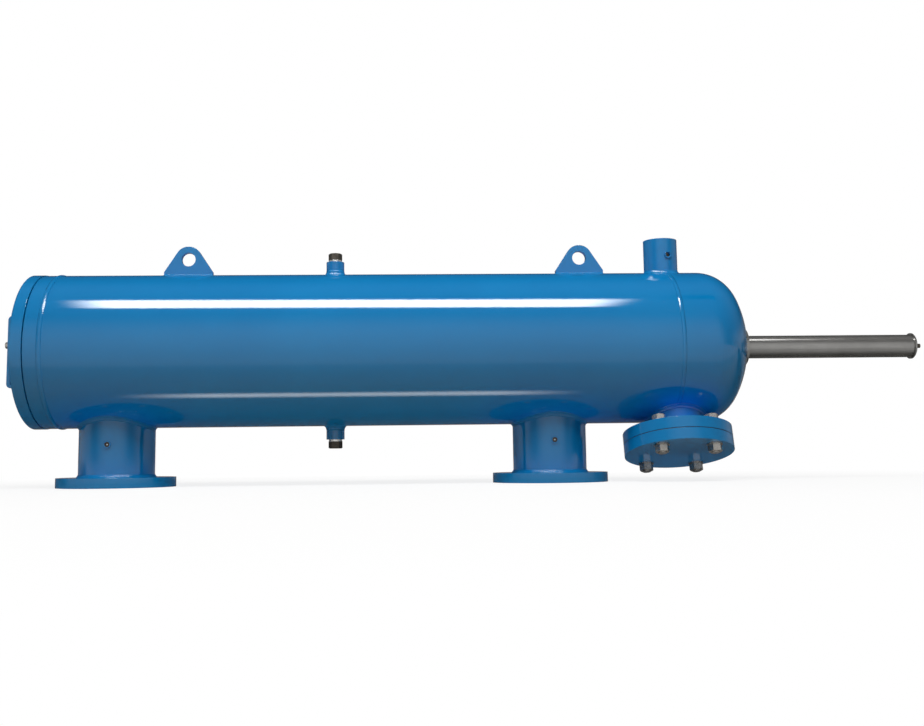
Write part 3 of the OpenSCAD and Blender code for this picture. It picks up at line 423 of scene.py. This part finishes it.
def fillet_section(leg, height, swell, hollow):
    """Pairs (out, up) along a weld's face, from the toe on the wall to the toe on the pipe."""
    pairs = []
    for k in range(FILLET_STEPS + 1):
        share = k / FILLET_STEPS
        turn = QUARTER_TURN * share
        proud = swell * math.sin(2 * turn)
        out = (1 - hollow) * (1 - share) + hollow * (1 - math.sin(turn))
        up = (1 - hollow) * share + hollow * (1 - math.cos(turn))
        pairs.append((leg * out + proud, height * up + proud))
    return pairs


def sunk_sides(leg, height):
    """Pairs (out, up) that close a fillet's section inside the pipe and the wall."""
    return [(-SINK, height), (-SINK, -SINK), (leg, -SINK)]


def branch_turns(radius, waves):
    """The turns round a branch at which a weld has a ring, each with its ripple's height."""
    steps = int(FULL_TURN * radius / RIPPLE_PITCH * RIPPLE_STEPS)
    for i in range(steps):
        turn = FULL_TURN * i / steps
        yield turn, ripple(turn * radius, BRANCH_PHASE * math.sin(waves * turn))


def shell_height(across):
    """Height of the shell's surface over its axis, at a distance to the side."""
    return math.sqrt(SHELL_R ** 2 - across ** 2)


def saddle_weld(matrix, pipe, leg, height):
    """Weld where a pipe along local Z leaves the shell, which lies along local X."""
    wide = pipe + leg
    inner = pipe - SINK
    rings = []
    for turn, swell in branch_turns(wide, SADDLE_WAVES):
        ring = []
        for out, up in fillet_section(leg, height, swell, SADDLE_HOLLOW):
            radius = pipe + out
            ring.append(polar(radius, turn, shell_height(radius * math.sin(turn)) + up))
        inner_z = shell_height(inner * math.sin(turn)) - SINK
        wide_z = shell_height(wide * math.sin(turn)) - SINK
        ring.append(polar(inner, turn, inner_z + height))
        ring.append(polar(inner, turn, inner_z))
        ring.append(polar(wide, turn, wide_z))
        rings.append([matrix @ point for point in ring])
    return sweep(rings, True)


def flange_weld(matrix, pipe, leg, height):
    """Fillet between a pipe along local Z and the flange face at local Z = 0."""
    rings = []
    for turn, swell in branch_turns(pipe + leg, FLANGE_WAVES):
        section = fillet_section(leg, height, swell, FILLET_HOLLOW) + sunk_sides(leg, height)
        rings.append([matrix @ polar(pipe + out, turn, up) for out, up in section])
    return sweep(rings, True)


def girth_weld(x, width, height, start, end):
    """Bead round the shell between two turns, measured from straight up towards the front."""
    closed = math.isclose(end - start, FULL_TURN)
    steps = int((end - start) * SHELL_R / RIPPLE_PITCH * RIPPLE_STEPS)
    rings = []
    for i in range(steps if closed else steps + 1):
        turn = start + (end - start) * i / steps
        swell = GIRTH_RIPPLE * height * ripple(turn * SHELL_R, GIRTH_PHASE * math.sin(GIRTH_WAVES * turn))
        section = []
        for k in range(GIRTH_STEPS + 1):
            share = k / GIRTH_STEPS
            crown = math.sin(HALF_TURN * share) ** GIRTH_CROWN if 0 < share < 1 else 0.0
            section.append((width * (share - 0.5), SHELL_R + (height + swell) * crown))
        section.append((width / 2, SHELL_R - SINK))
        section.append((-width / 2, SHELL_R - SINK))
        rings.append([Vector((x + along, -radius * math.sin(turn), AXIS_Z + radius * math.cos(turn)))
                      for along, radius in section])
    return sweep(rings, closed)


def lug_foot_path():
    """Points round a lifting lug's foot, with the lug's middle at zero."""
    corners = ((-1, -1), (1, -1), (1, 1), (-1, 1))
    path = []
    for (start_x, start_y), (end_x, end_y) in zip(corners, corners[1:] + corners[:1]):
        length = 2 * (LUG_HALF_FOOT if start_y == end_y else LUG_HALF_THICK)
        steps = int(length / RIPPLE_PITCH * LUG_RIPPLE_STEPS)
        for i in range(steps):
            share = i / steps
            path.append((LUG_HALF_FOOT * (start_x + (end_x - start_x) * share),
                         LUG_HALF_THICK * (start_y + (end_y - start_y) * share)))
    return path


def lug_weld(lug_x):
    """Fillet round a lifting lug's foot, following the shell."""
    path = lug_foot_path()
    travelled = 0.0
    rings = []
    for i, (x, y) in enumerate(path):
        before_x, before_y = path[i - 1]
        after_x, after_y = path[(i + 1) % len(path)]
        away = Vector((after_y - before_y, before_x - after_x)).normalized()
        if i:
            travelled += math.hypot(x - before_x, y - before_y)
        swell = ripple(travelled, 0.0)
        section = fillet_section(LUG_LEG, LUG_LEG, swell, FILLET_HOLLOW) + sunk_sides(LUG_LEG, LUG_LEG)
        ring = []
        for out, up in section:
            across = y + away.y * out
            ring.append(Vector((lug_x + (x + away.x * out), across, AXIS_Z + shell_height(across) + up)))
        rings.append(ring)
    return sweep(rings, True)


def turned(x, tilt):
    """Frame on the vessel's axis with local Z turned from straight up towards the front."""
    return Matrix.Translation((x, 0, AXIS_Z)) @ Matrix.Rotation(tilt, 4, "X")


HAND_TURN = HALF_TURN - HAND_TILT
hand = turned(HAND_X, HAND_TURN)


def weld_runs():
    """The welds of the branches, the flanges and the two seams round the shell."""
    runs = []
    for x in NOZZLES.values():
        runs.append(saddle_weld(turned(x, HALF_TURN), PIPE_R, SADDLE_LEG, SADDLE_H))
        flange_face = Matrix.Translation((x, 0, FLANGE_TOP))
        runs.append(flange_weld(flange_face, PIPE_R, FLANGE_LEG, FLANGE_WELD_H))
    runs.append(saddle_weld(turned(FLUSH_X, 0), FLUSH_R, SADDLE_LEG, SADDLE_H))
    runs.append(saddle_weld(hand, NECK_R, SADDLE_LEG, SADDLE_H))
    neck_face = hand @ Matrix.Translation((0, 0, NECK_REACH)) @ Matrix.Rotation(HALF_TURN, 4, "X")
    runs.append(flange_weld(neck_face, NECK_R, FLANGE_LEG, FLANGE_WELD_H))
    for tilt in (0, HALF_TURN):
        runs.append(saddle_weld(turned(PORT_X, tilt), COUPLING_R, COUPLING_LEG, COUPLING_WELD_H))
    runs.append(girth_weld(RING_SEAM_X, *RING_GIRTH, 0, FULL_TURN))
    flush_half = math.asin((FLUSH_R + GIRTH_STOP * SADDLE_LEG) / SHELL_R)
    neck_half = math.asin((NECK_R + GIRTH_STOP * SADDLE_LEG) / SHELL_R)
    runs.append(girth_weld(HEAD_SEAM_X, *HEAD_GIRTH, flush_half, HAND_TURN - neck_half))
    runs.append(girth_weld(HEAD_SEAM_X, *HEAD_GIRTH, HAND_TURN + neck_half, FULL_TURN - flush_half))
    return runs


welds = add_piece("weld_runs", weld_runs(), "blue_paint")
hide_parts("weld_beads")
for side, lug_x in LUGS.items():
    add_piece(f"lug_weld_{side}", [lug_weld(lug_x)], "blue_paint")


# Bare centre pins in the gauge plugs' sockets

# Pairs of radius and distance from the nozzle's axis
PIN_PROFILE = ((0.0030, 0.1070), (0.0030, 0.1112), (0.0026, 0.1120), (0.0016, 0.1123))
PIN_SIDES = 24


def gauge_pin(nozzle_x):
    """A pin that points to the front, turned from its profile and capped at both ends."""
    matrix = Matrix.Translation((nozzle_x, 0, GAUGE_Z)) @ Matrix.Rotation(QUARTER_TURN, 4, "X")
    turns = [FULL_TURN * k / PIN_SIDES for k in range(PIN_SIDES)]
    rings = [[matrix @ polar(radius, turn, out) for turn in turns] for radius, out in PIN_PROFILE]
    return sweep(rings, False)


add_piece("gauge_plug_pins", [gauge_pin(x) for x in NOZZLES.values()], "seal_ring_steel")


# Stage: floor, cards that show only in reflections, lamps, surroundings and camera

WHITE = rgb(1, 1, 1)
FLOOR_MIDDLE = (0.9, 0.0, 0.0)
FLOOR_SIZE = (60.0, 60.0)
# The floor's colour for the light that it throws back, and for the camera
FLOOR_LIT_DARK = rgb(0.46, 0.44, 0.37)
FLOOR_LIT_LIGHT = rgb(0.49, 0.47, 0.40)
FLOOR_SEEN = rgb(0.93, 0.93, 0.93)
# Share of plain white in the floor as the camera sees it, near the part and far from it
FLOOR_WHITE = (0.82, 1.0)
FLOOR_REACH = (1.0, 2.6)
# Brightness of the floor in reflections, painted by place and darker near and under the vessel as a
# painted shadow: (distance to the front from, to, added brightness)
FLOOR_MIRRORED_SHADOW_BASE = 0.10
FLOOR_MIRRORED_SHADOW_STEPS = ((-0.05, 0.42, 0.62), (0.82, 0.96, 0.38), (-0.9, -1.6, 0.15))


def flat_card(name, centre, size, turn=0.0):
    """A flat rectangle that faces up and down, turned about Z."""
    half_x = size[X] / 2
    half_y = size[Y] / 2
    corners = [(-half_x, -half_y, 0), (half_x, -half_y, 0), (half_x, half_y, 0), (-half_x, half_y, 0)]
    mesh = bpy.data.meshes.new(name)
    mesh.from_pydata(corners, [], [(0, 1, 2, 3)])
    obj = bpy.data.objects.new(name, mesh)
    obj.location = centre
    obj.rotation_euler = (0.0, 0.0, turn)
    scene.collection.objects.link(obj)
    return obj


def make_floor():
    """Pale floor with a faint shadow for the camera. In reflections it is a glow whose brightness is
    painted by place, with a painted shadow under the vessel.
    """
    material = bpy.data.materials.new("floor")
    tree = emptied_tree(material)
    path = add_node(tree, "ShaderNodeLightPath")
    seen = path.outputs["Is Camera Ray"]
    vector = object_coords(tree)
    lit = mix_colour(tree, noise(tree, vector, scale=2.0), FLOOR_LIT_DARK, FLOOR_LIT_LIGHT)
    diffuse = add_node(tree, "ShaderNodeBsdfDiffuse", {"Color": mix_colour(tree, seen, lit, FLOOR_SEEN)})
    place = add_node(tree, "ShaderNodeSeparateXYZ", {"Vector": vector})
    to_front = math_node(tree, "MULTIPLY", place.outputs[Y], -1.0)
    # painted shadow: in reflections the floor glows darker near and under the vessel
    mirrored = stepped(tree, to_front, FLOOR_MIRRORED_SHADOW_BASE, FLOOR_MIRRORED_SHADOW_STEPS)
    bright = mix_value(tree, seen, mirrored, 1.0)
    plain = add_node(tree, "ShaderNodeEmission", {"Color": WHITE, "Strength": bright})
    away = add_node(tree, "ShaderNodeVectorMath", {0: vector}, operation="LENGTH")
    white_near, white_far = FLOOR_WHITE
    whiter = (*FLOOR_REACH, white_far - white_near)
    level = stepped(tree, away.outputs["Value"], white_near, [whiter])
    share = math_node(tree, "MULTIPLY", seen, level)
    share = math_node(tree, "MAXIMUM", share, path.outputs["Is Glossy Ray"])
    show_mix(tree, share, diffuse, plain)
    floor = flat_card("floor", FLOOR_MIDDLE, FLOOR_SIZE)
    floor.data.materials.append(material)


def glow(name, strength, size, fade):
    """Light that fades out smoothly over a card's edges."""
    material = bpy.data.materials.new(name)
    tree = emptied_tree(material)
    coords = add_node(tree, "ShaderNodeTexCoord")
    place = add_node(tree, "ShaderNodeSeparateXYZ", {"Vector": coords.outputs["Object"]})
    level = 1.0
    for axis in (X, Y):
        edge = size[axis] / 2
        away = math_node(tree, "ABSOLUTE", place.outputs[axis])
        level = math_node(tree, "MULTIPLY", smooth_step(tree, away, edge, edge - fade[axis]), level)
    clear = add_node(tree, "ShaderNodeBsdfTransparent")
    emission = add_node(tree, "ShaderNodeEmission", {"Strength": strength})
    show_mix(tree, level, clear, emission)
    return material


def only_for(obj, nodes):
    """Let a card or a lamp reach only the nodes named."""
    receivers = bpy.data.collections.new(obj.name + "_receivers")
    for node in nodes:
        receivers.objects.link(frame["nodes"][node])
    obj.light_linking.receiver_collection = receivers


def make_card(name, centre, size, strength, fade, turn=0.0, mirrored_by=()):
    """A glowing card that shows in reflections, in all pieces or only in the nodes named."""
    obj = flat_card(name, centre, size, turn)
    obj.data.materials.append(glow(name, strength, size, fade))
    obj.visible_camera = False
    obj.visible_diffuse = False
    obj.visible_shadow = False
    obj.visible_transmission = False
    obj.visible_volume_scatter = False
    if mirrored_by:
        only_for(obj, mirrored_by)


make_floor()
make_card("strip_card", centre=(0.59, -1.24, 3.0), size=(3.15, 0.95), strength=30.0,
          fade=(0.335, 0.22), turn=math.radians(-3.4))
make_card("low_card", centre=(0.69, -0.245, 0.004), size=(1.5, 0.075), strength=7.5,
          fade=(0.35, 0.035), mirrored_by=["shell"])
make_card("tube_card", centre=(2.68, -0.80, 3.0), size=(1.0, 0.60), strength=12.0,
          fade=(0.30, 0.20), mirrored_by=["cylinder_tube"])


def area_lamp(name, location, target, size, power, colour=(1.0, 1.0, 1.0)):
    """A soft rectangular lamp that neither the camera nor a reflection shows."""
    lamp = bpy.data.lights.new(name, "AREA")
    lamp.shape = "RECTANGLE"
    lamp.size, lamp.size_y = size
    lamp.energy = power
    lamp.color = colour
    obj = bpy.data.objects.new(name, lamp)
    obj.location = location
    aim = Vector(target) - Vector(location)
    obj.rotation_euler = aim.to_track_quat("-Z", "Y").to_euler()
    obj.visible_glossy = False
    obj.visible_camera = False
    scene.collection.objects.link(obj)
    return obj


area_lamp("key", location=(0.95, -1.95, 3.4), target=(0.95, 0.0, 0.4), size=(4.2, 1.6), power=138.0)
area_lamp("back_fill", location=(0.95, 2.7, 0.65), target=(0.95, 0.0, 0.45), size=(3.6, 0.8), power=45.0)
area_lamp("end_fill", location=(-3.0, -0.5, 0.9), target=(-0.3, 0.0, 0.4), size=(1.2, 0.9), power=11.0)
# Weak light from the floor on the underside of the hand hole's blind flange
area_lamp("blind_fill", location=(HAND_X, -0.02, 0.003), target=(HAND_X, -0.02, 0.4),
          size=(0.30, 0.16), power=0.05)

# Blue light that the flanges' tops throw back: its colour, and each lamp's distance to the front
# of the flange's middle and its gap over the flange
BOUNCED = (0.02, 0.20, 1.0)
FLANGE_BOUNCE_OUT = 0.142
FLANGE_BOUNCE_GAP = 0.005
HAND_BOUNCE_OUT = 0.115
HAND_BOUNCE_GAP = 0.004

for side, nozzle_x in NOZZLES.items():
    over_flange = Vector((nozzle_x, -FLANGE_BOUNCE_OUT, FLANGE_TOP + FLANGE_BOUNCE_GAP))
    bounce = area_lamp(f"{side}_bounce", over_flange, over_flange + Vector((0, 0, 1)),
                       size=(0.24, 0.05), power=0.05, colour=BOUNCED)
    only_for(bounce, ["shell"])
area_lamp("hand_bounce", hand @ Vector((0, HAND_BOUNCE_OUT, NECK_REACH - HAND_BOUNCE_GAP)),
          hand @ Vector((0, HAND_BOUNCE_OUT, 0)), size=(0.20, 0.05), power=0.03, colour=BOUNCED)

# Colour and strength of the light that the surroundings throw on the part
WORLD_COLOUR = rgb(1.0, 0.97, 0.9)
WORLD_LIGHT = 0.13
# Brightness of the surroundings in reflections: (share to the front from, to, added brightness)
WORLD_MIRRORED_BASE = 0.03
WORLD_MIRRORED = ((-0.62, -0.05, 0.22), (0.60, 0.97, 0.92))
# Low pale band at the sides, weaker at the back, and the heights between which it ends
LOW_BAND = ((0.55, 0.15, 0.45), (-0.45, -0.85, -0.33))
LOW_BAND_TOP = (0.30, 0.12)


def make_world():
    """White for the camera, weak light on the part, and a brightness by direction in reflections."""
    world = bpy.data.worlds.new("studio")
    scene.world = world
    tree = emptied_tree(world)
    path = add_node(tree, "ShaderNodeLightPath")
    seen = path.outputs["Is Camera Ray"]
    shown = math_node(tree, "MAXIMUM", seen, path.outputs["Is Glossy Ray"])
    shown = math_node(tree, "MAXIMUM", shown, path.outputs["Is Transmission Ray"])
    coords = add_node(tree, "ShaderNodeTexCoord")
    direction = add_node(tree, "ShaderNodeSeparateXYZ", {"Vector": coords.outputs["Generated"]})
    to_front = math_node(tree, "MULTIPLY", direction.outputs[Y], -1.0)
    mirrored = stepped(tree, to_front, WORLD_MIRRORED_BASE, WORLD_MIRRORED)
    band = stepped(tree, to_front, 0.0, LOW_BAND)
    under_top = smooth_step(tree, direction.outputs[Z], *LOW_BAND_TOP)
    mirrored = math_node(tree, "ADD", mirrored, math_node(tree, "MULTIPLY", band, under_top))
    bright = mix_value(tree, seen, mirrored, 1.0)
    soft = add_node(tree, "ShaderNodeBackground", {"Color": WORLD_COLOUR, "Strength": WORLD_LIGHT})
    plain = add_node(tree, "ShaderNodeBackground", {"Color": WHITE, "Strength": bright})
    show_mix(tree, shown, soft, plain, "ShaderNodeOutputWorld")


make_world()

# Camera, fitted to the photograph: its width and focal length are in pixels, the sensor in mm
PHOTO_WIDTH = 924
FOCAL_LENGTH = 1034.714
SENSOR_WIDTH = 36.0
CAMERA_PLACE = (0.828945, -3.122091, 0.074849)
YAW = math.radians(-2.20925)
PITCH = math.radians(6.43513)
ROLL = math.radians(-0.66695)
SHIFT_X = 0.02856
SHIFT_Y = -0.02351
CLIP_END = 200.0


def camera_axes():
    """The camera's own axes as columns: right, up and backwards."""
    ahead = Vector((-math.sin(YAW) * math.cos(PITCH), math.cos(YAW) * math.cos(PITCH), math.sin(PITCH)))
    level = Vector((math.cos(YAW), math.sin(YAW), 0))
    upright = level.cross(ahead)
    right = level * math.cos(ROLL) + upright * math.sin(ROLL)
    up = upright * math.cos(ROLL) - level * math.sin(ROLL)
    return Matrix((right, up, -ahead)).transposed()


def make_camera():
    camera = bpy.data.cameras.new("camera")
    camera.sensor_width = SENSOR_WIDTH
    camera.lens = FOCAL_LENGTH * SENSOR_WIDTH / PHOTO_WIDTH
    camera.shift_x = SHIFT_X
    camera.shift_y = SHIFT_Y
    camera.clip_end = CLIP_END
    viewer = bpy.data.objects.new("camera", camera)
    viewer.matrix_world = Matrix.Translation(CAMERA_PLACE) @ camera_axes().to_4x4()
    scene.collection.objects.link(viewer)
    scene.camera = viewer


make_camera()
scene.view_settings.view_transform = "Standard"
